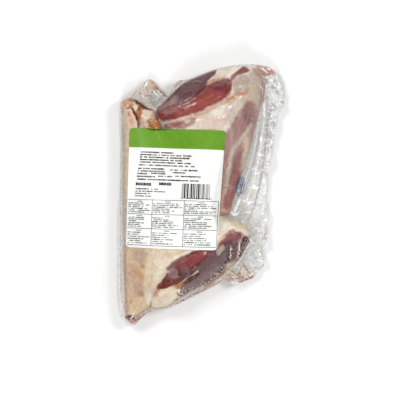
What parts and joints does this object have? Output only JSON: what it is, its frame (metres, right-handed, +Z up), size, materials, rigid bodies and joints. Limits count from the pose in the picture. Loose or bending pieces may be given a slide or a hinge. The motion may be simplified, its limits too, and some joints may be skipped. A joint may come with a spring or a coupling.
{
  "type": "vacuum-packed raw lamb shanks",
  "caption": "Raw lamb shanks lying head to tail in a clear, wrinkled vacuum bag that rests flat, with a rounded paper label stuck on top.",
  "frame": {"origin": "middle of the pack's outline seen from above, on the surface that it rests on", "axes": "+Z up, away from the surface that the pack rests on; +Y along the pack's length, towards the thick head of the upper shank and the top of the label; +X across the pack, towards its wide skirt of free film"},
  "size_m": [0.1774, 0.2776, 0.0524],
  "materials": {
    "wrapped_lamb": "clear film drawn tight over raw lamb: cream fat, red and purple-brown muscle, with a clear wrinkled skirt",
    "clear_film": "clear, glossy and finely wrinkled",
    "raw_lamb": "raw lamb, moist: cream fat, pale membrane, and red to purple-brown muscle",
    "label_paper": "white coated paper, half gloss, with a green band along its upper edge",
    "label_print": "thin dark printed strokes, with a green band and a blue ink mark"
  },
  "bodies": {
    "root": {"vacuum_bag": "wrapped_lamb", "label": "label_paper"}
  },
  "joints": []
}
